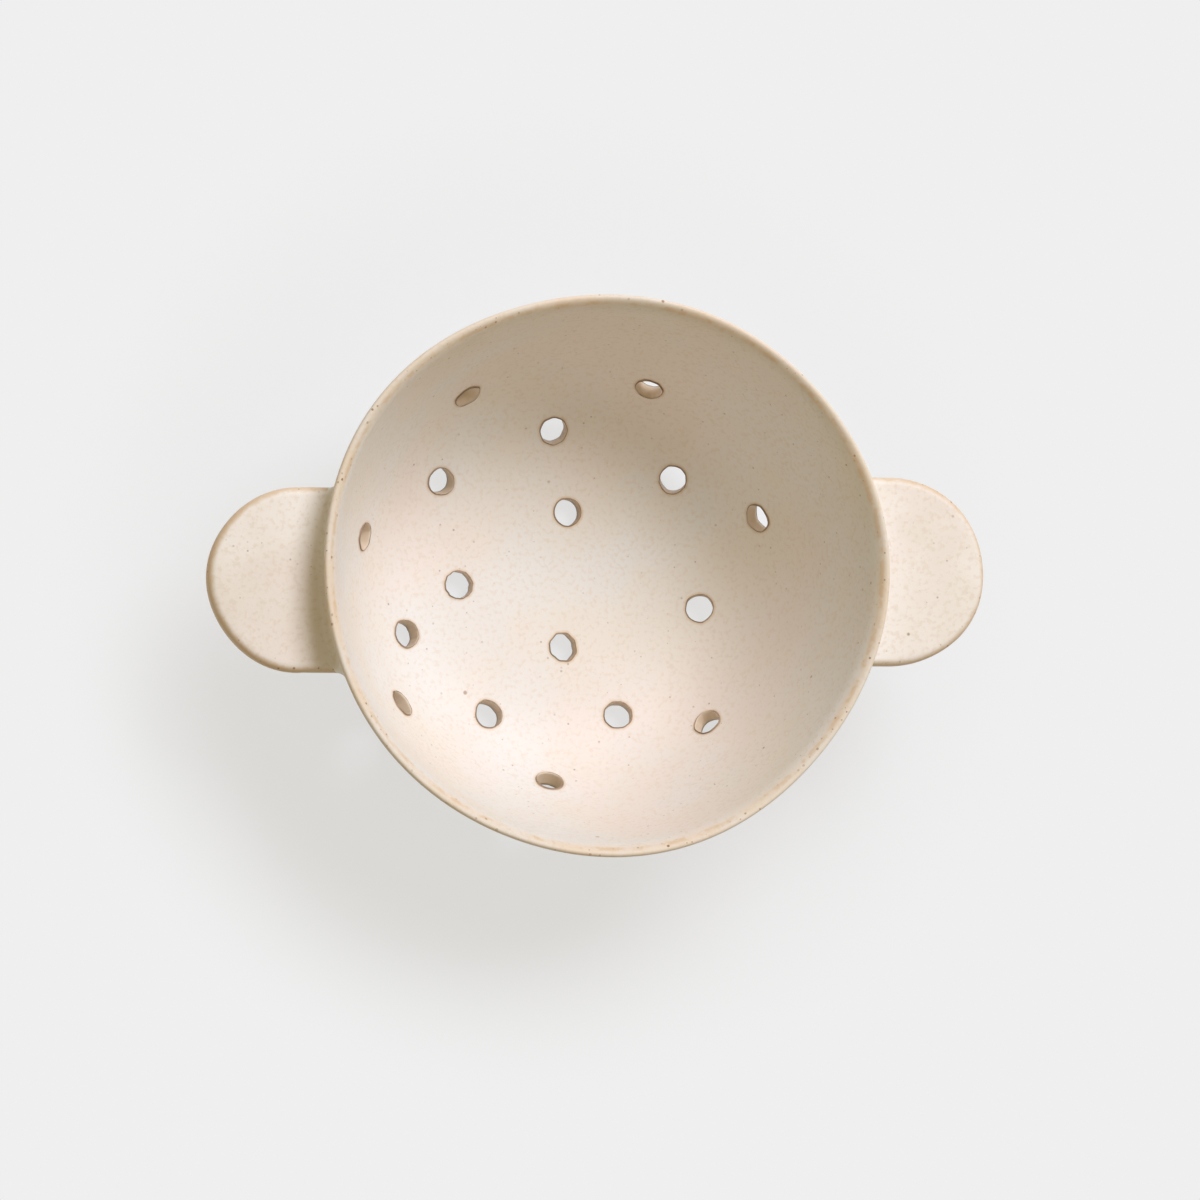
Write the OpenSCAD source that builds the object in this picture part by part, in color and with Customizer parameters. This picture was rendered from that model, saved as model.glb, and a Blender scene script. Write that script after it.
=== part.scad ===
// Berry colander: a small wheel-thrown stoneware bowl with punched drain holes
// and two half-round tab handles. Sizes in mm, +X towards the right handle, +Z up,
// origin on the table under the middle of the foot.

/* [Bowl] */
// Outside diameter of the bowl at its lip
bowl_d = 142; // [130:1:160]
// Height from the table to the top of the lip
bowl_h = 66; // [56:1:80]
// Diameter of the level middle of the floor inside
flat_d = 40; // [30:1:50]
// Fullness of the belly, the power of the curve that climbs from floor to lip
fullness = 4.2; // [3.4:0.1:5]
// Thickness of the clay at the floor
floor_t = 4; // [3:0.1:5]
// Thickness of the clay at the rounded lip
lip_t = 3; // [2.4:0.1:4]

/* [Foot] */
// Outside diameter of the trimmed foot ring
foot_d = 66; // [62:1:72]
// Width of the foot ring
foot_w = 3.4; // [2.6:0.1:4.2]
// Depth of the hollow trimmed out inside the foot ring
foot_h = 1.4; // [1:0.1:3]
// Bevel along both edges of the foot ring
foot_bevel = 0.4; // [0.2:0.1:0.8]

/* [Drain holes] */
// Diameter of the punch that cuts the drain holes
hole_d = 7; // [5:0.5:8]
// Distance of the inner row in from the inside of the foot ring
inner_row_in = 9.1; // [8.6:0.1:14]
// Distance of the middle row out from the outside of the foot ring
middle_row_out = 6.5; // [6:0.1:9]
// Distance of the wall row in from the outside of the lip, seen from above
wall_row_in = 17.5; // [14:0.5:19]

/* [Handles] */
// Length over both handles, from tip to tip
span = 200; // [190:1:220]
// Width of the left handle
left_w = 46; // [36:1:54]
// Width of the right handle
right_w = 48; // [36:1:54]
// Place of the left handle's middle, towards +Y
left_shift = -1.7; // [-4:0.1:4]
// Place of the right handle's middle, towards +Y
right_shift = 2.1; // [-4:0.1:4]
// Depth of the handles' top face below the lip
handle_drop = 11; // [7:0.5:16]
// Thickness of the rolled clay slab that the handles are cut from
handle_t = 5.5; // [4:0.1:8]
// Radius that rounds the edges of the handles
handle_edge = 2; // [1:0.1:2]
// Size of the smoothed clay in the corners above and below each handle
seam_size = 3; // [1.5:0.1:4]

/* [Hidden] */

clay_colour = [0.93, 0.88, 0.81];
seam_colour = [0.88, 0.81, 0.72];

// The holes are punched by eye. Each hole is its angle from +X and how far
// it strays outwards from its row.
inner_row = [[80, -1], [180, 5], [278, -4.5]];
middle_row = [[42, 0], [91, 0.5], [139, 1], [198, 2.5], [242, -1.5], [297, -2], [352, -0.5]];
wall_row = [[19, 0], [67, 1.5], [119, 1], [168, 0.5], [216, -0.5], [266, -2.5], [317, -1.5]];

bowl_r = bowl_d / 2;
flat_r = flat_d / 2;
foot_r = foot_d / 2;
foot_in_r = foot_r - foot_w;
floor_z = foot_h + floor_t;
handle_z = bowl_h - handle_drop;

// Steps along the curve of the wall, round the lip and round a handle's edge
curve_steps = 30;
lip_steps = 8;
edge_steps = 5;
seam_steps = 6;
round_fn = 180;

// The wall climbs from the edge of the level floor, at u = 0, to the lip, at
// u = 1, by a power curve. lip_lean is the wall's slope at the lip, which sets
// where the curve must end for the round lip to touch bowl_d and bowl_h.
lip_lean = atan(fullness * (bowl_h - floor_z) / (bowl_r - lip_t - flat_r));
mouth_r = bowl_r - lip_t / 2 * (1 + sin(lip_lean));
mouth_z = bowl_h - lip_t / 2 * (1 - cos(lip_lean));
curve_r = mouth_r - flat_r;
curve_h = mouth_z - floor_z;

function slope(u) = atan(fullness * curve_h / curve_r * pow(u, fullness - 1));
function clay_t(u) = floor_t + (lip_t - floor_t) * u;
function inner_point(u) = [flat_r + curve_r * u, floor_z + curve_h * pow(u, fullness)];
function outer_point(u) = inner_point(u) + clay_t(u) * [sin(slope(u)), -cos(slope(u))];
function u_at(r) = max(0, (r - flat_r) / curve_r);
function arc(centre, radius, from, to, steps) =
    [for (i = [0:steps]) let (a = from + (to - from) * i / steps)
        centre + radius * [cos(a), sin(a)]];

// Half of the bowl's section, as pairs of radius and height. The outside
// starts just past the foot ring, where the potter's trimming tool leaves it.
foot_cove = 0.6;
u_foot = u_at(foot_r + foot_cove);
inner_line = [for (i = [0:curve_steps]) inner_point(i / curve_steps)];
outer_line = [for (i = [0:curve_steps]) outer_point(u_foot + (1 - u_foot) * i / curve_steps)];
lip_middle = (inner_point(1) + outer_point(1)) / 2;
lip_start = slope(1) - 90;
lip_line = arc(lip_middle, lip_t / 2, lip_start, lip_start + 180, lip_steps);
inside_of_lip = [for (i = [1:lip_steps - 1]) lip_line[i]];
foot_line = [
    [foot_in_r, foot_h],
    [foot_in_r, foot_bevel],
    [foot_in_r + foot_bevel, 0],
    [foot_r - foot_bevel, 0],
    [foot_r, foot_bevel],
    [foot_r, outer_line[0][1] - foot_cove]
];
upwards = [for (i = [0:curve_steps]) inner_line[curve_steps - i]];
bowl_section = concat([[0, foot_h]], foot_line, outer_line, inside_of_lip, upwards, [[0, floor_z]]);
full_section = concat([[0, foot_h]], foot_line, outer_line, [[0, outer_line[curve_steps][1]]]);

// Radius of the outside of the wall at a height
wall_table = [for (p = outer_line) [p[1], p[0]]];
function wall_r(z) = lookup(z, wall_table);

module punch(angle, r) {
    u = u_at(r);
    reach = 2 * floor_t;
    rotate([0, 0, angle])
        translate([r, 0, inner_point(u)[1]])
            rotate([0, -slope(u), 0])
                translate([0, 0, -reach])
                    cylinder(d = hole_d, h = 2 * reach, $fn = 48);
}

module row_of_holes(row, row_r) {
    for (hole = row) punch(hole[0], row_r + hole[1]);
}

// Everything inside the outside of the wall, which the handles and the seam
// clay are cut back to.
module bowl_blank() {
    rotate_extrude($fn = round_fn) polygon(full_section);
}

module bowl() {
    color(clay_colour)
        difference() {
            rotate_extrude($fn = round_fn) polygon(bowl_section);
            row_of_holes(inner_row, foot_in_r - inner_row_in);
            row_of_holes(middle_row, foot_r + middle_row_out);
            row_of_holes(wall_row, bowl_r - wall_row_in);
        }
}

// Section across a handle, half of it from the middle out to the rounded edge
function half_slab(half_w) = concat(
    [[0, -handle_t]],
    arc([half_w - handle_edge, -handle_t + handle_edge], handle_edge, -90, 0, edge_steps),
    arc([half_w - handle_edge, -handle_edge], handle_edge, 0, 90, edge_steps),
    [[0, 0]]
);

// A tab with a half-round end, lying towards +X and cut to the wall
module handle(width, shift) {
    half = half_slab(width / 2);
    end_x = span / 2 - width / 2;
    color(clay_colour)
        difference() {
            translate([end_x, shift, handle_z]) {
                rotate([0, 0, -90]) rotate_extrude(angle = 180, $fn = round_fn) polygon(half);
                for (side = [0, 1])
                    mirror([0, side, 0])
                        rotate([90, 0, -90]) linear_extrude(end_x - bowl_r / 2)
                            mirror([1, 0, 0]) polygon(half);
            }
            bowl_blank();
        }
}

// Section of the clay smoothed into the corner above (up = 1) or below
// (up = -1) a handle, as pairs of radius and height. Its hollow face runs on
// a little way inside the wall, where the wall cuts it off.
seam_bite = 0.2;
function seam_section(z, up) =
    let (far_z = z + up * seam_size, wall = wall_r(far_z) - seam_bite, deep = wall_r(z - seam_size) - lip_t)
    concat(
        [[deep, far_z], [deep, z]],
        arc([wall + seam_size, far_z], seam_size, -90 * up, -180 * up, seam_steps)
    );

module seam_clay(width, shift) {
    reach = width / 2 - handle_edge;
    color(seam_colour)
        difference() {
            intersection() {
                rotate_extrude($fn = round_fn) {
                    polygon(seam_section(handle_z, 1));
                    polygon(seam_section(handle_z - handle_t, -1));
                }
                translate([0, shift - reach, 0]) cube([span / 2, 2 * reach, bowl_h]);
            }
            bowl_blank();
        }
}

module left_handle() rotate([0, 0, 180]) handle(left_w, -left_shift);
module right_handle() handle(right_w, right_shift);
module left_seam_clay() rotate([0, 0, 180]) seam_clay(left_w, -left_shift);
module right_seam_clay() seam_clay(right_w, right_shift);

bowl();
left_handle();
right_handle();
left_seam_clay();
right_seam_clay();
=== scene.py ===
import math

import bpy
import numpy as np
from mathutils import Matrix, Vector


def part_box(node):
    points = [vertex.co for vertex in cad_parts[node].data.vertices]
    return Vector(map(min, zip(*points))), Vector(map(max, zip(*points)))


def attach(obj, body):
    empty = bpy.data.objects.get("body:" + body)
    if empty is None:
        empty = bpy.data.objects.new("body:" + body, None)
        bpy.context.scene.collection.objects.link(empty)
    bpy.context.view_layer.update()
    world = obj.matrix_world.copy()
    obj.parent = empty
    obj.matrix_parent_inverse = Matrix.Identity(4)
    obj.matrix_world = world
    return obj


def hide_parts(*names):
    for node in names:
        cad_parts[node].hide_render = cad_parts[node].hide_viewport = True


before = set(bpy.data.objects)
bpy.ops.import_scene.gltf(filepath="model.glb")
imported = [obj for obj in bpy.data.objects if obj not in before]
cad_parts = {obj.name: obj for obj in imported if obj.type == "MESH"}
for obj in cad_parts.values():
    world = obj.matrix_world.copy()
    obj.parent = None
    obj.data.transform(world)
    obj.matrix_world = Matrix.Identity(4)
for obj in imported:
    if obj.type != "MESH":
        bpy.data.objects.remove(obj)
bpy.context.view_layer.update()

# Bowl
# The bowl is thrown on the wheel from one lump of pale, speckled stoneware. Its
# foot ring is trimmed from the same clay, and 17 drain holes are punched square
# to the wall by eye while the clay is leather hard. Sizes are in mm, as in the
# part's own source, and each mesh is turned into metres by MM.
MM = 0.001

bowl_low, bowl_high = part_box("bowl")
bowl_r = (bowl_high.y - bowl_low.y) / 2 / MM
bowl_h = bowl_high.z / MM
flat_r = 20.0
fullness = 4.2
floor_t = 4.0
lip_t = 3.0
foot_r = 33.0
foot_in_r = 29.6
foot_h = 1.4
foot_bevel = 0.4
foot_cove = 0.6
corner_softness = 0.16

floor_z = foot_h + floor_t
lip_lean = math.atan(fullness * (bowl_h - floor_z) / (bowl_r - lip_t - flat_r))
mouth_r = bowl_r - lip_t / 2 * (1 + math.sin(lip_lean))
mouth_z = bowl_h - lip_t / 2 * (1 - math.cos(lip_lean))
curve_r = mouth_r - flat_r
curve_h = mouth_z - floor_z


def inner_wall(u):
    """Inside line of the wall. Radius grows evenly with u, height with u to the power fullness."""
    return np.stack([flat_r + curve_r * u, floor_z + curve_h * u**fullness], -1)


def outer_wall(u):
    """Outside line: the inside line moved out, square to the wall, by clay that thins to the lip."""
    slope = np.arctan(fullness * curve_h / curve_r * u ** (fullness - 1))
    clay = floor_t + (lip_t - floor_t) * u
    return inner_wall(u) + clay[:, None] * np.stack([np.sin(slope), -np.cos(slope)], -1)


def straight(start, end, step=0.05):
    """Points from start to end along a straight line, a step apart, without the last one."""
    start, end = np.array(start, float), np.array(end, float)
    count = max(2, int(np.hypot(*(end - start)) / step))
    return start + (end - start) * (np.arange(count) / count)[:, None]


def even(points, step):
    """The same line with its points an even step apart, and the length along it to each one."""
    along = np.concatenate([[0], np.cumsum(np.hypot(*np.diff(points, axis=0).T))])
    lengths = np.linspace(0, along[-1], int(along[-1] / step) + 1)
    return np.stack([np.interp(lengths, along, points[:, i]) for i in (0, 1)], -1), lengths


def bezier(start, pull_start, pull_end, end, steps):
    """A cubic Bezier curve: weights (1-t)^3, 3t(1-t)^2, 3t^2(1-t) and t^3 on its four points."""
    t = np.linspace(0, 1, steps)[:, None]
    near = (1 - t) ** 3 * start + 3 * t * (1 - t) ** 2 * pull_start
    return near + 3 * t**2 * (1 - t) * pull_end + t**3 * end


# The section runs from the middle of the floor out and up the inside, over the
# lip, which the potter's sponge leaves steeper outside than inside, down the
# outside and round the foot ring to the middle underneath.
u_foot = (foot_r + foot_cove - flat_r) / curve_r
outer_line = outer_wall(np.linspace(1, u_foot, 1200))
lip_start_u = 0.985
lip_pull_in, lip_pull_out = 5.2, 3.4
lip_start = inner_wall(lip_start_u)
up_the_wall = np.array([math.cos(lip_lean), math.sin(lip_lean)])
lip_line = bezier(
    lip_start, lip_start + lip_pull_in * up_the_wall,
    outer_line[0] + lip_pull_out * up_the_wall, outer_line[0], 160,
)[1:-1]
foot_top = outer_line[-1, 1] - foot_cove
section = np.concatenate([
    straight([0, floor_z], [flat_r, floor_z]),
    inner_wall(np.linspace(0, lip_start_u, 1200)),
    lip_line,
    outer_line,
    straight(outer_line[-1], [foot_r, foot_top]),
    straight([foot_r, foot_top], [foot_r, foot_bevel]),
    straight([foot_r, foot_bevel], [foot_r - foot_bevel, 0]),
    straight([foot_r - foot_bevel, 0], [foot_in_r + foot_bevel, 0]),
    straight([foot_in_r + foot_bevel, 0], [foot_in_r, foot_bevel]),
    straight([foot_in_r, foot_bevel], [foot_in_r, foot_h]),
    straight([foot_in_r, foot_h], [0, foot_h]),
])
section_step = 0.04
soft_reach = 15
section, section_s = even(section, section_step)
soft = np.exp(-0.5 * (np.arange(-soft_reach, soft_reach + 1) * section_step / corner_softness) ** 2)
padded = np.pad(section, ((soft_reach, soft_reach), (0, 0)), mode="reflect", reflect_type="odd")
section = np.stack([np.convolve(padded[:, i], soft / soft.sum(), "valid") for i in (0, 1)], -1)
section_out = np.gradient(section, section_s, axis=0)[:, ::-1] * [-1, 1]


def s_at(r, z):
    """Length along the section to its point nearest to a radius and height."""
    return section_s[np.argmin((section[:, 0] - r) ** 2 + (section[:, 1] - z) ** 2)]


s_crest = section_s[np.argmax(section[:, 1])]
s_foot_out = s_at(foot_r, foot_top)
s_foot_in = s_at(foot_in_r, foot_h)
s_end = section_s[-1]

# How far the hand-thrown lip strays outwards from a circle: (waves, cosine, sine)
lip_waves = [(0, 0.24, 0), (1, 0, 0.24), (2, 1.13, 0), (3, 0.12, 0.51), (5, 0.33, 0)]
# How far it strays upwards
lip_rolls = [(1, 0.10, -0.12), (2, -0.14, 0.10), (3, 0.06, 0.05)]
wave_fade = 1.4
# Throwing ridges: their height, and the lengths over which they fade near the lip
ridge_size = 0.016
ridge_fade = 12.0
ridge_gap = 3.0
ridge_floor_fade = 6.0


def waves(angle, table):
    """Sum over the table of cosine and sine waves that go round the bowl a whole number of times."""
    return sum(c * np.cos(n * angle) + s * np.sin(n * angle) for n, c, s in table)


def bowl_point(angle, s):
    """A point of the bowl: the section at length s, turned to an angle. The lip's waves fade out
    towards the foot, and faint spiral throwing ridges push the surface out and in."""
    r, z, out_r, out_z = (
        np.interp(s, section_s, line) for line in (*section.T, *section_out.T)
    )
    up = np.clip((z - floor_z) / (bowl_h - floor_z), 0, 1)
    off_lip = np.clip((np.abs(s - s_crest) - ridge_gap) / ridge_fade, 0, 1)
    ridge = np.sin(s / 0.62 + angle) + np.sin(s / 0.97 - 2 * angle + 1) + np.sin(s / 2.1 + angle + 3)
    ridge = ridge * ridge_size * off_lip * np.clip(up * ridge_floor_fade, 0, 1)
    r = r + waves(angle, lip_waves) * up**wave_fade + ridge * out_r
    z = z + waves(angle, lip_rolls) * up**wave_fade + ridge * out_z
    return np.stack([r * np.cos(angle), r * np.sin(angle), z], -1)


# Rows of the mesh lie closer where the section bends
def stretch(start, end, step):
    """Even lengths from start to end, about a step apart, without the last one."""
    return np.linspace(start, end, max(2, round(abs(end - start) / step)), endpoint=False)


lip_half = 3.2
pole_gap = 1.2
wall_step = 1.15
outside_step = 1.2
lip_step = 0.36
foot_step = 0.3
foot_from, foot_to = s_foot_out - 1.5, s_foot_in + 0.7
row_s = np.concatenate([
    stretch(pole_gap, s_crest - lip_half, wall_step),
    stretch(s_crest - lip_half, s_crest + lip_half, lip_step),
    stretch(s_crest + lip_half, foot_from, outside_step),
    stretch(foot_from, foot_to, foot_step),
    stretch(foot_to, s_end - pole_gap, wall_step),
    [s_end - pole_gap],
])
columns = 340
rows = len(row_s)
column_angle = 2 * np.pi * np.arange(columns) / columns

# Three rows of holes: each its angle from +X in degrees and its
# radius from the axis
punch_r = 3.5
inner_row = [(80, 19.5), (180, 25.4), (278, 16.0)]
middle_row = [
    (42, 41.8), (91, 40.2), (139, 40.5), (198, 41.8), (242, 37.9), (296.5, 37.3), (352, 38.8),
]
wall_row = [
    (19, 53.7), (67, 54.9), (119, 54.6), (168, 54.2), (216, 53.1), (266, 51.1), (317, 52.1),
]
hole_edge_in = 0.45
hole_edge_out = 0.35
block_margin = 1.9
hole_rings = 4
edge_turns = np.radians([0, 22, 45, 68, 90])
tunnel_steps = 5
far_from_hole = 9.0
deep_in_hole = -3.0
# A punched rim isn't quite round: its waves, and how large the first would be
rim_waves = (2, 3, 5, 8, 13)
rim_ragged = 0.03


def block_loop(i0, i1, low, high):
    """Columns and rows round a block of the mesh, from its low side on, each corner once."""
    steps = 1 if high > low else -1
    side = np.arange(low, high, steps)
    across = np.arange(i0, i1)
    column = np.concatenate([across, np.full(len(side), i1), across[::-1] + 1, np.full(len(side), i0)])
    row = np.concatenate([np.full(len(across), low), side, np.full(len(across), high), side[::-1] + steps])
    return column, row


def on_sheet(angle, s, centre, axes, a, b):
    """The angles and lengths on the bowl whose points lie a along and b up the hole's own axes,
    found by Newton's method from a first guess."""
    nudge = 1e-4
    for _ in range(7):
        point = bowl_point(angle, s)
        by_angle = (bowl_point(angle + nudge, s) - point) / nudge
        by_s = (bowl_point(angle, s + nudge) - point) / nudge
        miss_a = (point - centre) @ axes[0] - a
        miss_b = (point - centre) @ axes[1] - b
        aa, ab, ba, bb = by_angle @ axes[0], by_s @ axes[0], by_angle @ axes[1], by_s @ axes[1]
        scale = aa * bb - ab * ba
        angle = angle - (bb * miss_a - ab * miss_b) / scale
        s = s - (aa * miss_b - ba * miss_a) / scale
    return angle, s


grid_angle, grid_s = np.meshgrid(column_angle, row_s)
points = [bowl_point(grid_angle, grid_s).reshape(-1, 3)]
lip_marks = [(grid_s - s_crest).ravel()]
hole_marks = [np.full(rows * columns, far_from_hole)]
point_count = rows * columns
cell_kept = np.ones((rows - 1, columns), bool)
quads = []
luck = np.random.default_rng(7)

for degrees, radius in inner_row + middle_row + wall_row:
    turn = math.radians(degrees)
    u = max(0.0, (radius - flat_r) / curve_r)
    s_in = s_at(radius, inner_wall(u)[1])
    centre = bowl_point(turn, s_in)
    across = np.array([-math.sin(turn), math.cos(turn), 0])
    up_wall = bowl_point(turn, s_in + 0.1) - bowl_point(turn, s_in - 0.1)
    up_wall /= np.linalg.norm(up_wall)
    axes = np.stack([across, up_wall, np.cross(across, up_wall)])

    # Where the punch comes out on the outside
    outside_s = section_s[section_s > s_crest + 2]
    along_wall = (bowl_point(np.full(len(outside_s), turn), outside_s) - centre) @ up_wall
    s_out = outside_s[np.argmin(np.abs(along_wall))]

    half = punch_r + block_margin
    reach = math.ceil(half / radius * columns / (2 * math.pi))
    middle = round(turn * columns / (2 * math.pi))
    i0, i1 = middle - reach, middle + reach
    low_in = np.searchsorted(row_s, s_in - half) - 1
    count = np.searchsorted(row_s, s_in + half) - low_in
    low_out = np.searchsorted(row_s, s_out) + count // 2
    low_out = min(low_out, rows - 1)
    if s_out > s_foot_in:
        low_out = max(low_out, np.searchsorted(row_s, s_foot_in + 0.2) + count)

    loops = []
    squeeze = [
        (n, luck.normal(0, rim_ragged / n**0.5), luck.uniform(0, 2 * math.pi)) for n in rim_waves
    ]
    for sheet, (low, high, s_mid, direction, edge) in enumerate([
        (low_in, low_in + count, s_in, 1, hole_edge_in),
        (low_out, low_out - count, s_out, -1, hole_edge_out),
    ]):
        column, row = block_loop(i0, i1, low, high)
        border_angle = 2 * np.pi * column / columns
        border_s = row_s[row]
        border = (bowl_point(border_angle, border_s) - centre) @ axes.T
        if sheet == 0:
            round_turn = np.arctan2(border[:, 1], border[:, 0])
            ragged = 1 + sum(size * np.cos(n * round_turn + shift) for n, size, shift in squeeze)
            rim_a = punch_r * ragged * np.cos(round_turn)
            rim_b = punch_r * ragged * np.sin(round_turn)
            rim = np.hypot(rim_a, rim_b)
        rings = []
        for turned in edge_turns:
            grow = 1 + edge * (1 - math.sin(turned)) / rim
            a, b = rim_a * grow, rim_b * grow
            angle, s = on_sheet(turn + a / radius, s_mid + direction * b, centre, axes, a, b)
            sink = edge * (1 - math.cos(turned)) * direction
            spot = bowl_point(angle, s) - axes[2] * sink
            rings.append((spot, s, np.full(len(a), edge * (1 - math.sin(turned)))))
            if turned == 0:
                first_angle, first_s = angle, s
        fan = []
        for share in np.linspace(0, 1, hole_rings + 1)[1:-1]:
            angle = border_angle + (first_angle - border_angle) * share
            s = border_s + (first_s - border_s) * share
            spot = bowl_point(angle, s)
            local = (spot - centre) @ axes.T
            fan.append((spot, s, np.hypot(local[:, 0], local[:, 1]) - rim))
        border_index = row * columns + column % columns
        hole_marks[0][border_index] = np.minimum(
            hole_marks[0][border_index], np.hypot(border[:, 0], border[:, 1]) - rim
        )
        loops.append((border_index, fan + rings))
        for row_index in range(min(low, high), max(low, high)):
            cell_kept[row_index, np.arange(i0, i1) % columns] = False

    start_in, start_out = loops[0][1][-1][0], loops[1][1][-1][0]
    thickness = np.linalg.norm(start_out - start_in, axis=1)
    tunnel = []
    for share in np.linspace(0, 1, tunnel_steps + 2)[1:-1]:
        spot = start_in + (start_out - start_in) * share
        depth = thickness * min(share, 1 - share)
        tunnel.append((spot, np.full(len(spot), s_in if share < 0.5 else s_out), -depth))
    chain = loops[0][1] + tunnel + loops[1][1][::-1]
    indices = [loops[0][0]]
    for spot, s, mark in chain:
        points.append(spot)
        lip_marks.append(s - s_crest)
        hole_marks.append(mark)
        indices.append(point_count + np.arange(len(spot)))
        point_count += len(spot)
    indices.append(loops[1][0])
    for ring, following in zip(indices[:-1], indices[1:]):
        quads.append(np.stack([ring, following, np.roll(following, -1), np.roll(ring, -1)], -1))

row, column = np.nonzero(cell_kept)
after = (column + 1) % columns
quads.append(np.stack([
    row * columns + column, (row + 1) * columns + column,
    (row + 1) * columns + after, row * columns + after,
], -1))
points.append(np.array([[0, 0, section[0, 1]], [0, 0, section[-1, 1]]]))
lip_marks.append(np.array([-s_crest, s_end - s_crest]))
hole_marks.append(np.full(2, far_from_hole))
column = np.arange(columns)
after = (column + 1) % columns
last_row = (rows - 1) * columns
pole_faces = np.concatenate([
    np.stack([np.full(columns, point_count), column, after], -1),
    np.stack([last_row + column, np.full(columns, point_count + 1), last_row + after], -1),
])


def piece(name, points, faces, marks):
    """A mesh object from points in mm, faces as index lists, and one number a point for each mark."""
    used = np.unique(np.concatenate([np.ravel(part) for part in faces]))
    new_index = np.zeros(len(points), int)
    new_index[used] = np.arange(len(used))
    mesh = bpy.data.meshes.new(name)
    lists = [face for part in faces for face in new_index[part].tolist()]
    mesh.from_pydata((points[used] * MM).tolist(), [], lists)
    for label, values in marks.items():
        layer = mesh.attributes.new(label, "FLOAT", "POINT")
        layer.data.foreach_set("value", values[used].astype(np.float32))
    mesh.shade_smooth()
    mesh.update()
    made = bpy.data.objects.new(name, mesh)
    bpy.context.scene.collection.objects.link(made)
    return made


class Wire:
    """An output of a shader tree. Arithmetic on it adds Math nodes, and add() any other node."""

    def __init__(self, tree, socket=None):
        self.tree = tree
        self.socket = socket

    def add(self, kind, settings, sockets, output=0):
        """Adds a node of a type with its settings, then sets or links its sockets."""
        node = self.tree.nodes.new(kind)
        for name, value in settings.items():
            setattr(node, name, value)
        for name, value in sockets.items():
            if isinstance(value, Wire):
                self.tree.links.new(value.socket, node.inputs[name])
            else:
                node.inputs[name].default_value = value
        return Wire(self.tree, node.outputs[output] if node.outputs else None)

    def maths(self, operation, first, second=0.0, clamp=False):
        settings = {"operation": operation, "use_clamp": clamp}
        return self.add("ShaderNodeMath", settings, {0: first, 1: second})

    def __add__(self, other):
        return self.maths("ADD", self, other)

    __radd__ = __add__

    def __sub__(self, other):
        return self.maths("SUBTRACT", self, other)

    def __rsub__(self, other):
        return self.maths("SUBTRACT", other, self)

    def __mul__(self, other):
        return self.maths("MULTIPLY", self, other)

    __rmul__ = __mul__

    def __truediv__(self, other):
        return self.maths("DIVIDE", self, other)

    def __abs__(self):
        return self.maths("ABSOLUTE", self)

    def held(self):
        """This value, held between 0 and 1."""
        return self.maths("ADD", self, 0.0, clamp=True)

    def rise(self, low, high):
        """0 below low, 1 above high and a smooth step between them, or falling if low is above high."""
        if low > high:
            return 1 - self.rise(high, low)
        settings = {"interpolation_type": "SMOOTHSTEP"}
        limits = {"Value": self, "From Min": low, "From Max": high}
        return self.add("ShaderNodeMapRange", settings, limits)

    def tint(self, under, over):
        """The colour under where this value is 0 and over where it is 1."""
        sockets = {0: self, 6: under, 7: over}
        return self.add("ShaderNodeMix", {"data_type": "RGBA"}, sockets, output=2)


def rgb(red, green, blue):
    """A colour as a picture program shows it, 0 to 255, turned into light."""
    parts = [c / 255 for c in (red, green, blue)]
    return (*(c / 12.92 if c <= 0.04045 else ((c + 0.055) / 1.055) ** 2.4 for c in parts), 1.0)


# The bowl, tabs and seams wear one glaze on one clay. The bowl's base colour is set darker, as painted shade
# for its shaded inside, and the tabs' and seams' lighter, as painted light.
bowl_cream_painted_shade = rgb(237, 235, 233)
handle_cream_painted_light = rgb(250, 245, 241)
glaze_warm = rgb(238, 230, 219)
glaze_deep = rgb(224, 206, 186)
glaze_rose = rgb(242, 230, 225)
toasted_tan = rgb(214, 178, 128)
thin_tan = rgb(236, 206, 164)
# Painted shade: the tan tint of the hole tunnels.
tunnel_tan_painted_shade = rgb(230, 214, 196)
toasted_brown = rgb(150, 104, 62)
iron_brown = rgb(128, 84, 52)
burnt_edge = rgb(98, 66, 44)
bare_clay = rgb(196, 160, 118)


def speckle(wire, place, per_metre, size, share, softness=0.25):
    """Round specks, at most one in each cell of a random foam: cells come per_metre, a speck is
    up to size of a cell wide, and only that share of cells has one. Returns a mask and a random."""
    foam = {"Vector": place, "Scale": per_metre}
    cell = wire.add("ShaderNodeTexVoronoi", {}, foam)
    colour = wire.add("ShaderNodeTexVoronoi", {}, foam, output="Color")
    red = wire.add("ShaderNodeSeparateColor", {}, {"Color": colour}, output="Red")
    green = wire.add("ShaderNodeSeparateColor", {}, {"Color": colour}, output="Green")
    reach = ((red - (1 - share)) / share).held() * size
    return ((reach - cell) / (size * softness)).held(), green


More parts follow.
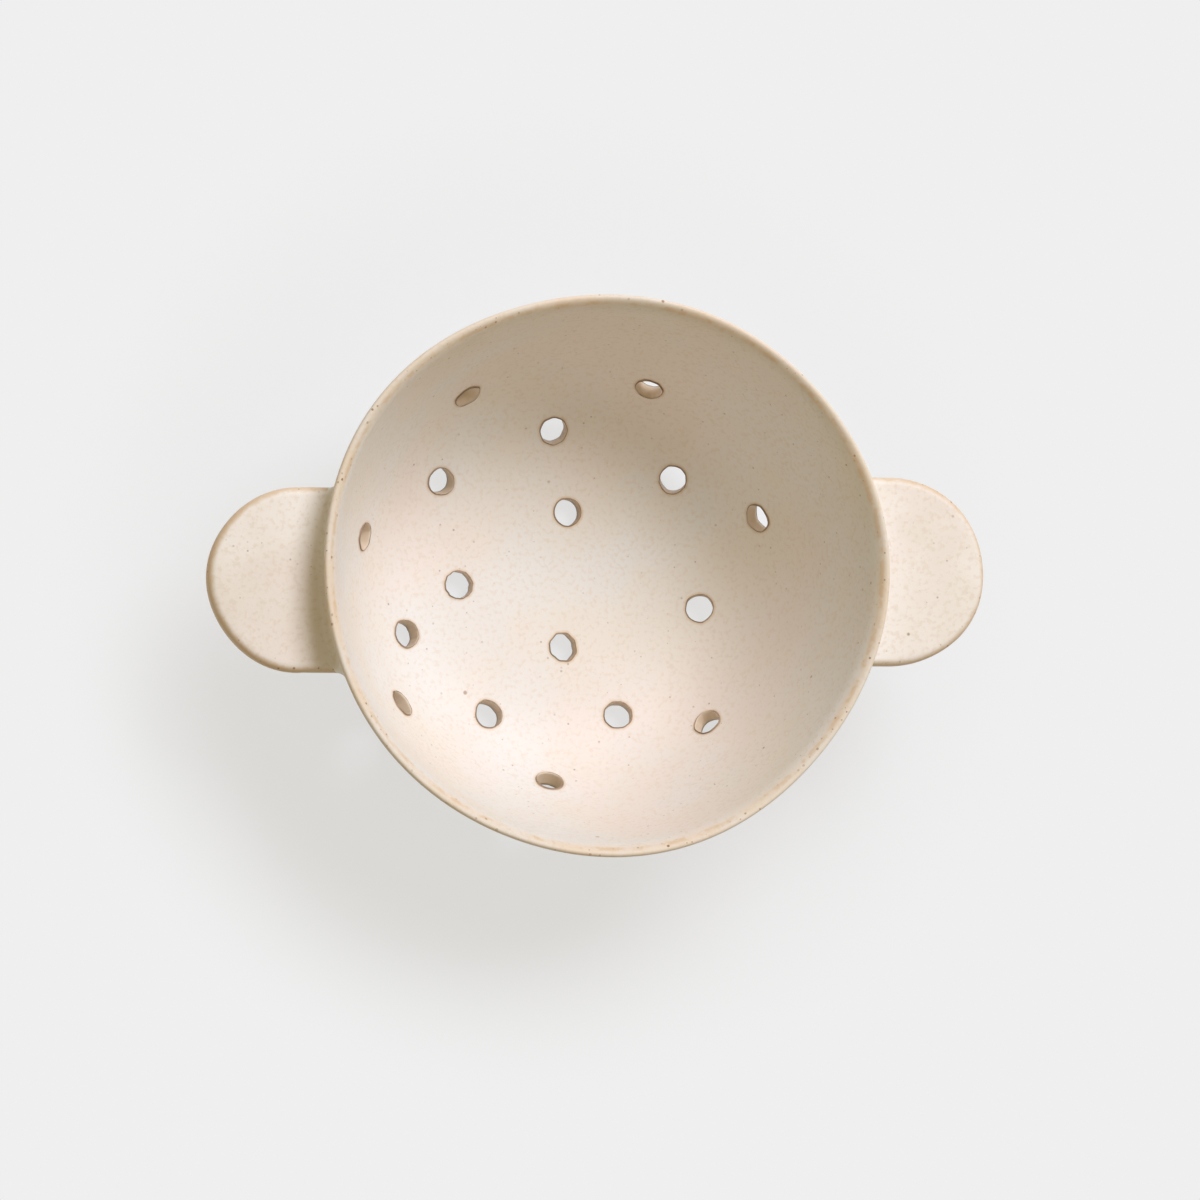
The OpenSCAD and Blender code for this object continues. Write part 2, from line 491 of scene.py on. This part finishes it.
def glaze(name, cream, wear):
    """The satin glaze over speckled clay, on a base colour cream that is set darker for the bowl as painted
    shade and lighter for the tabs and seams as painted light. wear gets the tree and the colour so far, and
    returns the colour with the worn and toasted places of one kind of piece, and a bump to add."""
    material = bpy.data.materials.new(name)
    material.use_nodes = True
    tree = material.node_tree
    tree.nodes.clear()
    wire = Wire(tree)
    place = wire.add("ShaderNodeTexCoord", {}, {}, output="Object")
    clouds = wire.add("ShaderNodeTexNoise", {}, {"Vector": place, "Scale": 38.0, "Detail": 3.0})
    drifts = wire.add("ShaderNodeTexNoise", {}, {
        "Vector": place, "Scale": 21.0, "Detail": 2.0, "Distortion": 0.6,
    })
    grain = wire.add("ShaderNodeTexNoise", {}, {"Vector": place, "Scale": 900.0, "Detail": 2.0})
    colour = (clouds.rise(0.35, 0.68) * 0.7).tint(cream, glaze_warm)
    colour = (drifts.rise(0.42, 0.7) * 0.6).tint(colour, glaze_rose)
    colour = (grain.rise(0.48, 0.72) * 0.35).tint(colour, glaze_deep)
    pepper, pale = speckle(wire, place, 560.0, 0.2, 0.3)
    colour = (pepper * (pale * 0.35 + 0.15)).tint(colour, iron_brown)
    specks, strong = speckle(wire, place, 260.0, 0.12, 0.5, softness=0.5)
    colour = (specks * (strong * 0.5 + 0.2)).tint(colour, iron_brown)
    spots, strong = speckle(wire, place, 85.0, 0.062, 0.7, softness=0.4)
    colour = (spots * (strong * 0.5 + 0.3)).tint(colour, toasted_brown)
    colour, bump = wear(wire, place, colour)
    pits, _ = speckle(wire, place, 330.0, 0.12, 0.25, softness=1.0)
    fine = wire.add("ShaderNodeTexNoise", {}, {"Vector": place, "Scale": 1500.0, "Detail": 2.0})
    height = clouds * 0.5 + grain * 0.18 + fine * 0.06 - pits * 0.25 + bump
    normal = wire.add("ShaderNodeBump", {}, {"Strength": 0.45, "Distance": 0.0004, "Height": height})
    rough = 0.5 + grain * 0.1 + clouds * 0.08
    shader = wire.add("ShaderNodeBsdfPrincipled", {}, {
        "Base Color": colour, "Roughness": rough, "Normal": normal, "Specular IOR Level": 0.35,
    })
    wire.add("ShaderNodeOutputMaterial", {}, {"Surface": shader})
    return material


def mark(wire, label):
    """A number that the mesh carries on each point."""
    return wire.add("ShaderNodeAttribute", {"attribute_name": label}, {}, output="Fac")


def bowl_wear_and_tunnel_shade(wire, place, colour):
    """Tan, freckled lip, brown rims of the holes, the tunnels of the holes tinted tan as painted shade,
    and the foot wiped bare. The lip mark is the length from the crest of the lip, less inside and more
    outside, and the hole mark is the distance from a hole's edge, below zero inside it, both in mm."""
    mottle = wire.add("ShaderNodeTexNoise", {}, {"Vector": place, "Scale": 330.0, "Detail": 3.0})
    slow = wire.add("ShaderNodeTexNoise", {}, {"Vector": place, "Scale": 60.0, "Detail": 2.0})
    lip = mark(wire, "lip") + (mottle - 0.5) * 1.4
    top = lip.rise(-3.6, -1.6) * lip.rise(2.6, 1.2)
    colour = (top * (slow * 0.8 - 0.1)).held().tint(colour, thin_tan)
    inner_edge = lip.rise(-2.6, -1.6) * lip.rise(-0.4, -1.2) * mottle.rise(0.42, 0.62)
    colour = (inner_edge * 0.4).tint(colour, toasted_tan)
    outer_edge = lip.rise(0.9, 1.8) * lip.rise(3.6, 2.4)
    colour = (outer_edge * (mottle * 1.2 - 0.2)).held().tint(colour, toasted_tan)
    freckles, strong = speckle(wire, place, 800.0, 0.36, 0.4)
    near_lip = lip.rise(-2.8, -1.6) * lip.rise(3.0, 1.8)
    colour = (freckles * near_lip * (strong * 0.6 + 0.3)).tint(colour, toasted_brown)
    hole = mark(wire, "hole") + (mottle - 0.5) * 0.5
    halo = hole.rise(1.1, 0.1) * (0.3 + slow * 0.5)
    colour = halo.held().tint(colour, toasted_tan)
    # Painted shade: the tunnels of the holes, a recess, are tinted tan.
    tunnel = hole.rise(0.1, -0.3)
    colour = (tunnel * 0.6).tint(colour, tunnel_tan_painted_shade)
    rim = hole.rise(-0.25, 0.0) * hole.rise(0.38, 0.15)
    colour = (rim * (0.35 + mottle * 0.7)).held().tint(colour, burnt_edge)
    height = wire.add("ShaderNodeSeparateXYZ", {}, {"Vector": place}, output="Z")
    bare = (height + (mottle - 0.5) * 0.0004).rise(0.0013, 0.0009)
    colour = bare.tint(colour, bare_clay)
    return colour, mottle * 0.3 * near_lip


bowl = piece(
    "bowl_body",
    np.concatenate(points),
    [np.concatenate(quads), pole_faces],
    {"lip": np.concatenate(lip_marks), "hole": np.concatenate(hole_marks).clip(deep_in_hole, far_from_hole)},
)
# The bowl's darker base colour is painted shade.
bowl.data.materials.append(glaze("bowl_glaze_painted_shade", bowl_cream_painted_shade, bowl_wear_and_tunnel_shade))
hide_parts("bowl")
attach(bowl, "root")


# Handles
# Two half-round tabs cut from a rolled slab of the same clay, their edges
# rounded with a wet sponge, and set level on the wall just below the lip. The
# glaze runs thin round their edges and lets the clay's tan show.
handle_edge = 2.0
slab_wave = 0.14
# The tabs are cut by eye, and both stand out a little further than planned
tip_by_eye = 1.1
root_inset = 2.4
outline_steps = 150
side_steps = 12
top_steps = 14
edge_steps = 9


def wall_radius(angle, z, depth=0.0):
    """Radius of the outside of the wall at an angle and height, less a depth into the clay."""
    outside = section_s > s_crest + 1
    s = np.interp(-z, -section[outside, 1], section_s[outside])
    return np.hypot(*bowl_point(angle, s)[..., :2].T).T - depth


def wall_x(y, z, side, depth=0.0):
    """How far out along X, towards side 1 or -1, the outside of the wall is at y and z."""
    angle = np.arctan2(y, side * np.sqrt(bowl_r**2 - y**2))
    return side * np.sqrt(wall_radius(angle, z, depth) ** 2 - y**2)


def slab_sag(x, y, seed):
    """Slow unevenness of a hand-rolled slab, a few crossing waves."""
    return slab_wave * (np.sin(x / 7.3 + seed) + np.sin(y / 8.9 + 2 * seed) + np.sin((x + y) / 12.1))


def handle_points(side, tip, y_mid, half, low, high, seed):
    """A closed section carried round a half-round tab. At each step the section runs from the root,
    inside the wall, over the top face, round the edge and back along the underside."""
    round_x = tip - side * half
    z_root = (low + high) / 2
    straight_y = np.ones(side_steps)
    start_x = wall_x(np.array([half]), z_root, side, lip_t / 2)[0]
    run = np.linspace(start_x, round_x, side_steps, endpoint=False)
    turn = np.linspace(math.pi / 2, -math.pi / 2, outline_steps - 2 * side_steps)
    wobble = 1 + 0.006 * np.sin(3 * turn + seed) + 0.005 * np.sin(5 * turn + 2 * seed)
    x = np.concatenate([run, round_x + side * half * np.cos(turn) * wobble, run[::-1]])
    y = np.concatenate([straight_y, np.sin(turn) * wobble, -straight_y]) * half
    normal_x = np.concatenate([0 * run, side * np.cos(turn), 0 * run])
    normal_y = np.concatenate([straight_y, np.sin(turn), -straight_y])
    root_y = np.linspace(half - root_inset, -half + root_inset, outline_steps)
    root_x = wall_x(root_y, z_root, side, lip_t / 2)
    over = np.linspace(0, 1, top_steps)[:, None] ** 0.8
    bend = np.linspace(0, math.pi / 2, edge_steps)[1:, None]
    top_x = root_x + (x - normal_x * handle_edge - root_x) * over
    top_y = root_y + (y - normal_y * handle_edge - root_y) * over
    edge_in = handle_edge * (1 - np.sin(bend))
    x_half = np.concatenate([top_x, x - normal_x * edge_in])
    y_half = np.concatenate([top_y, y - normal_y * edge_in])
    drop = np.concatenate([0 * over, handle_edge * (1 - np.cos(bend))]) + 0 * x_half
    x_all = np.concatenate([x_half, x_half[::-1]])
    y_all = np.concatenate([y_half, y_half[::-1]])
    z_all = np.concatenate([high - drop, low + drop[::-1]])
    to_edge = np.hypot(top_x[-1] - top_x, top_y[-1] - top_y) + handle_edge
    from_edge = np.concatenate([to_edge, np.broadcast_to(edge_in, (edge_steps - 1, outline_steps))])
    from_edge = np.concatenate([from_edge, -from_edge[::-1]])
    z_all = z_all + slab_sag(x_all, y_all, seed)
    return np.stack([x_all, y_all + y_mid, z_all], -1), from_edge


def tube_faces(sections, steps, flip):
    """Faces of a closed section carried along an open path, with a cap at each end."""
    index = np.arange(sections * steps).reshape(sections, steps)
    below, here = index[:, :-1], index[:, 1:]
    sides = np.stack([below, np.roll(below, -1, 0), np.roll(here, -1, 0), here], -1).reshape(-1, 4)
    caps = np.stack([index[::-1, 0], index[:, -1]])
    return [sides[:, ::-1], caps[:, ::-1]] if flip else [sides, caps]


def handle_wear(wire, place, colour):
    """Tan where the glaze is thin round the edge, with brown freckles along it."""
    mottle = wire.add("ShaderNodeTexNoise", {}, {"Vector": place, "Scale": 260.0, "Detail": 3.0})
    slow = wire.add("ShaderNodeTexNoise", {}, {"Vector": place, "Scale": 55.0, "Detail": 2.0})
    edge = abs(mark(wire, "edge")) + (mottle - 0.5) * 1.2
    thin = edge.rise(1.7, 0.3) * (0.25 + slow * 0.8)
    colour = thin.held().tint(colour, toasted_tan)
    freckles, strong = speckle(wire, place, 800.0, 0.34, 0.34)
    colour = (freckles * edge.rise(2.2, 0.6) * (strong * 0.6 + 0.3)).tint(colour, toasted_brown)
    return colour, mottle * 0.1


# The tabs' lighter base colour is painted light.
handle_glaze_painted_light = glaze("handle_glaze_painted_light", handle_cream_painted_light, handle_wear)
handle_sides = {}
for name, side, seed in [("left_handle", -1, 0.7), ("right_handle", 1, 2.1)]:
    low, high = (np.array(corner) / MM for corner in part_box(name))
    tip = (high[0] if side > 0 else low[0]) + tip_by_eye
    y_mid = (low[1] + high[1]) / 2
    half = (high[1] - low[1]) / 2
    handle_sides[side] = (y_mid, half, low[2], high[2], seed)
    spots, from_edge = handle_points(side, tip, y_mid, half, low[2], high[2], seed)
    tab = piece(
        name + "_tab",
        spots.reshape(-1, 3),
        tube_faces(*spots.shape[:2], flip=side > 0),
        {"edge": from_edge.ravel()},
    )
    tab.data.materials.append(handle_glaze_painted_light)
    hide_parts(name)
    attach(tab, "root")


# Seam clay
# Soft clay is pressed into the corner between each tab and the wall, above,
# below and at both sides, and smoothed with a fingertip into a hollow fillet.
seam_up = 3.0
seam_side = 2.4
seam_sink = 0.04
seam_depth = 1.2
fillet_steps = 10


def seam_points(side, y_mid, half, low, high, seed):
    """A hollow fillet carried round the tab where it enters the wall. Its arc is a quadratic Bezier
    curve from the wall to the tab with the corner between them as control point; its back is hidden."""
    flat, tall = half - handle_edge, (high - low) / 2 - handle_edge
    counts = [72, 8, 6, 8] * 2
    turn_ends = [90, 90, 0, 0, -90, -90, -180, -180, -270]
    y_ends = [-flat, flat, flat, flat, flat, -flat, -flat, -flat, -flat]
    z_ends = [tall, tall, tall, -tall, -tall, -tall, -tall, tall, tall]
    turn, mid_y, mid_z = (
        np.concatenate([
            np.linspace(start, end, count, endpoint=False)
            for start, end, count in zip(ends[:-1], ends[1:], counts)
        ])
        for ends in (turn_ends, y_ends, z_ends)
    )
    out_y, out_z = np.cos(np.radians(turn)), np.sin(np.radians(turn))
    y = y_mid + mid_y + handle_edge * out_y
    z = (low + high) / 2 + mid_z + handle_edge * out_z
    reach = seam_side + (seam_up - seam_side) * np.abs(out_z)
    corner = np.stack([wall_x(y, z, side), y, z], -1)
    corner[:, 2] += slab_sag(corner[:, 0], y - y_mid, seed)
    on_tab = corner + np.stack([side * reach, -seam_sink * out_y, -seam_sink * out_z], -1)
    up_y, up_z = y + reach * out_y, z + reach * out_z
    on_wall = np.stack([wall_x(up_y, up_z, side, seam_sink), up_y, up_z], -1)
    back = corner - np.stack([0 * y + side * seam_depth, seam_depth * out_y, seam_depth * out_z], -1)
    t = np.linspace(0, 1, fillet_steps)[:, None, None]
    arc = (1 - t) ** 2 * on_wall + 2 * t * (1 - t) * corner + t**2 * on_tab
    return np.concatenate([arc, back[None]])


def ring_faces(sections, steps, flip):
    """Faces of a closed section carried round a closed path."""
    index = np.arange(sections * steps).reshape(sections, steps)
    ahead = np.roll(index, -1, 1)
    sides = np.stack([index, np.roll(index, -1, 0), np.roll(ahead, -1, 0), ahead], -1).reshape(-1, 4)
    return [sides[:, ::-1]] if flip else [sides]


def seam_wear(wire, place, colour):
    """Nothing is worn in a hollow corner, but more glaze gathers there and it stays smooth."""
    return colour, 0.0


# The seams take the tabs' lighter base colour, painted light.
seam_glaze_painted_light = glaze("seam_glaze_painted_light", handle_cream_painted_light, seam_wear)
for name, side in [("left_seam_clay", -1), ("right_seam_clay", 1)]:
    spots = seam_points(side, *handle_sides[side])
    fillet = piece(
        name + "_fillet", spots.reshape(-1, 3), ring_faces(*spots.shape[:2], flip=side < 0), {}
    )
    fillet.data.materials.append(seam_glaze_painted_light)
    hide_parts(name)
    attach(fillet, "root")


# Setting
# A plain pale table under a plain soft studio light, seen from almost straight
# above with the camera leaning a little towards the left handle.
floor_grey = rgb(239, 239, 239)
table_paint = rgb(236, 240, 247)
floor_half = 3.0
camera_distance = 1400.0
camera_lean = (-0.24, -0.05, 1.0)
camera_aim = (-1.888, -6.417, 63.626)
camera_focal = 168.67



def aim(thing, towards, upright, spot):
    """Sets a camera or lamp at a spot, its back turned towards a way, its top near upright."""
    towards = towards / np.linalg.norm(towards)
    right = np.cross(upright, towards)
    right /= np.linalg.norm(right)
    pose = np.eye(4)
    pose[:3, :3] = np.stack([right, np.cross(towards, right), towards], -1)
    pose[:3, 3] = spot
    thing.matrix_world = Matrix(pose)


def seen_directly(wire):
    """1 for a ray from the camera, off a mirror or through glass, and 0 for the light itself."""
    camera_ray, mirror_ray, glass_ray = (
        wire.add("ShaderNodeLightPath", {}, {}, output=kind)
        for kind in ("Is Camera Ray", "Is Glossy Ray", "Is Transmission Ray")
    )
    return (camera_ray + mirror_ray + glass_ray).held()


camera = bpy.data.objects.new("camera", bpy.data.cameras.new("camera"))
camera.data.sensor_width = 36.0
camera.data.lens = camera_focal
lean = np.array(camera_lean)
camera_spot = np.array(camera_aim) + lean / np.linalg.norm(lean) * camera_distance
aim(camera, lean, [0, 1, 0], camera_spot * MM)
bpy.context.scene.collection.objects.link(camera)
bpy.context.scene.camera = camera

floor_mesh = bpy.data.meshes.new("table")
corners = [(-1, -1), (1, -1), (1, 1), (-1, 1)]
floor_mesh.from_pydata([(x * floor_half, y * floor_half, 0) for x, y in corners], [], [(0, 1, 2, 3)])
table = bpy.data.objects.new("table", floor_mesh)
bpy.context.scene.collection.objects.link(table)

table_look = bpy.data.materials.new("table_top")
table_look.use_nodes = True
table_look.node_tree.nodes.clear()
wire = Wire(table_look.node_tree)
spot = wire.add("ShaderNodeTexCoord", {}, {}, output="Object")
from_middle = wire.add("ShaderNodeVectorMath", {"operation": "LENGTH"}, {0: spot}, output="Value")
plain = wire.add("ShaderNodeBsdfDiffuse", {}, {"Color": table_paint})
glow = wire.add("ShaderNodeEmission", {}, {"Color": floor_grey})
# The table keeps its shadow round the bowl, and is even under it and further off
share_under, share_round, share_far = 0.8, 0.73, 1.0
outwards = from_middle.rise(0.046, 0.052) * (share_round - share_under)
even_share = share_under + outwards + from_middle.rise(0.085, 0.135) * (share_far - share_round)
mixed = wire.add("ShaderNodeMixShader", {}, {0: seen_directly(wire) * even_share, 1: plain, 2: glow})
wire.add("ShaderNodeOutputMaterial", {}, {"Surface": mixed})
table.data.materials.append(table_look)

key_way = np.array([0.301, 0.521, 0.799])
key_colour = (1.0, 1.0, 1.08)
key_distance = 2.2
key = bpy.data.objects.new("key_light", bpy.data.lights.new("key_light", "AREA"))
key.data.shape = "DISK"
key.data.size = 1.2
key.data.energy = 36.0
key.data.color = key_colour
aim(key, key_way, [0, 0, 1], key_way * key_distance)
bpy.context.scene.collection.objects.link(key)

world = bpy.data.worlds.new("studio")
world.use_nodes = True
world.node_tree.nodes.clear()
wire = Wire(world.node_tree)
fill_strength = 0.33
fill_colour = (0.95, 0.78, 0.42, 1.0)
fill = wire.add("ShaderNodeBackground", {}, {"Color": fill_colour, "Strength": fill_strength})
backdrop = wire.add("ShaderNodeBackground", {}, {"Color": floor_grey})
mixed = wire.add("ShaderNodeMixShader", {}, {0: seen_directly(wire), 1: fill, 2: backdrop})
wire.add("ShaderNodeOutputWorld", {}, {"Surface": mixed})
bpy.context.scene.world = world
bpy.context.scene.view_settings.view_transform = "Standard"
